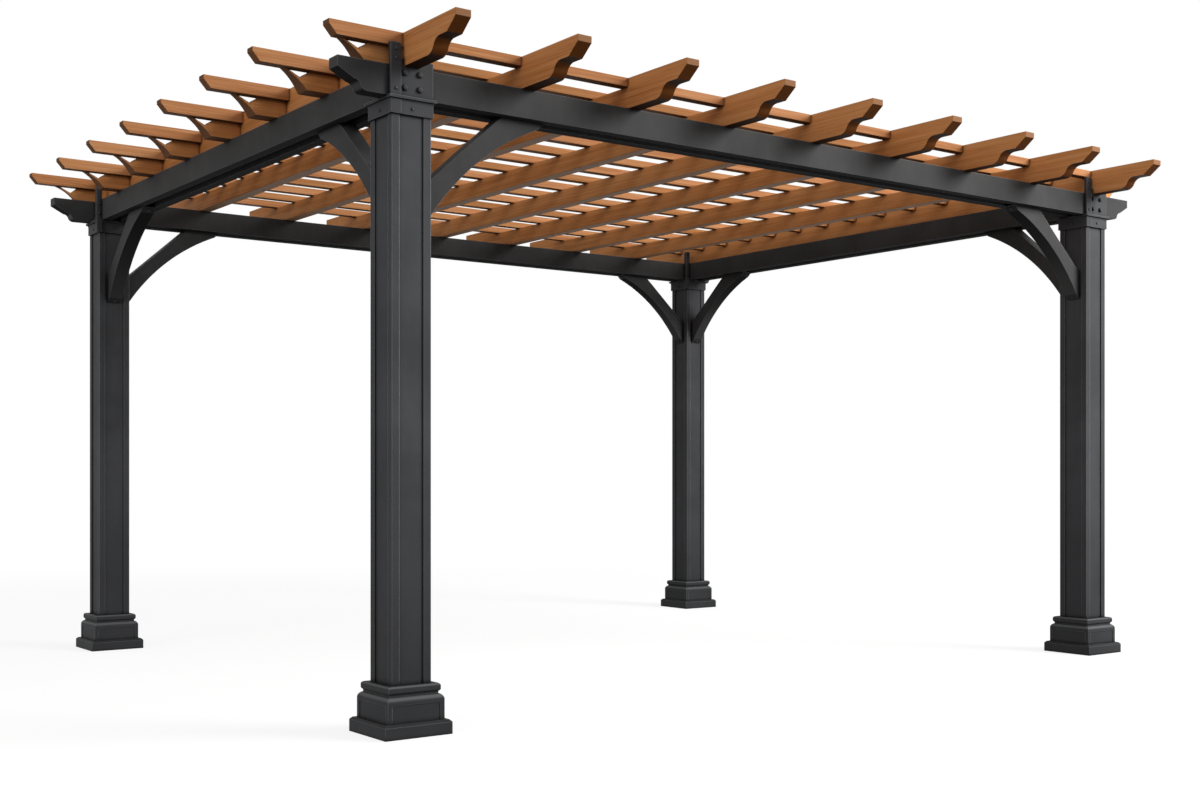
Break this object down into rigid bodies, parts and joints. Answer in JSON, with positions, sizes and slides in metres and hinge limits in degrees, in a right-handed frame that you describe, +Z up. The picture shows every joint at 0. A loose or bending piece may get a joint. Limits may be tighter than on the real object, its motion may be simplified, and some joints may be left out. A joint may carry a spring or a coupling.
{
  "type": "pergola",
  "caption": "Open pergola: dark square posts on moulded plinths, a ring of beams with curved knee braces, and a wooden roof of shaped rafters, purlins and slats.",
  "frame": {"origin": "on the ground at the centre of the four posts", "axes": "+X along the long side to the right, +Y from the front to the back, +Z up"},
  "size_m": [4.46, 3.7, 2.294],
  "materials": {
    "dark_frame": "charcoal satin powder coat",
    "dark_bracket": "charcoal satin powder coat on pressed brackets",
    "roof_wood": "warm brown stained softwood",
    "slat_wood": "warm brown stained softwood slats"
  },
  "bodies": {
    "root": {"post_front_left": "dark_frame", "post_front_right": "dark_frame", "post_back_left": "dark_frame", "post_back_right": "dark_frame", "plinth_front_left": "dark_frame", "plinth_front_right": "dark_frame", "plinth_back_left": "dark_frame", "plinth_back_right": "dark_frame", "bracket_front_left": "dark_bracket", "bracket_front_right": "dark_bracket", "bracket_back_left": "dark_bracket", "bracket_back_right": "dark_bracket", "beam_front": "dark_frame", "beam_back": "dark_frame", "beam_left": "dark_frame", "beam_right": "dark_frame", "long_brace_front_left": "dark_frame", "long_brace_front_right": "dark_frame", "long_brace_back_left": "dark_frame", "long_brace_back_right": "dark_frame", "side_brace_front_left": "dark_frame", "side_brace_front_right": "dark_frame", "side_brace_back_left": "dark_frame", "side_brace_back_right": "dark_frame", "rafter_1": "roof_wood", "rafter_2": "roof_wood", "rafter_3": "roof_wood", "rafter_4": "roof_wood", "rafter_5": "roof_wood", "rafter_6": "roof_wood", "rafter_7": "roof_wood", "rafter_8": "roof_wood", "rafter_9": "roof_wood", "purlin_1": "roof_wood", "purlin_2": "roof_wood", "purlin_3": "roof_wood", "purlin_4": "roof_wood", "purlin_5": "roof_wood", "purlin_6": "roof_wood", "purlin_7": "roof_wood", "purlin_8": "roof_wood", "slats": "slat_wood", "purlin_tails_left": "roof_wood", "purlin_tails_right": "roof_wood"}
  },
  "joints": []
}
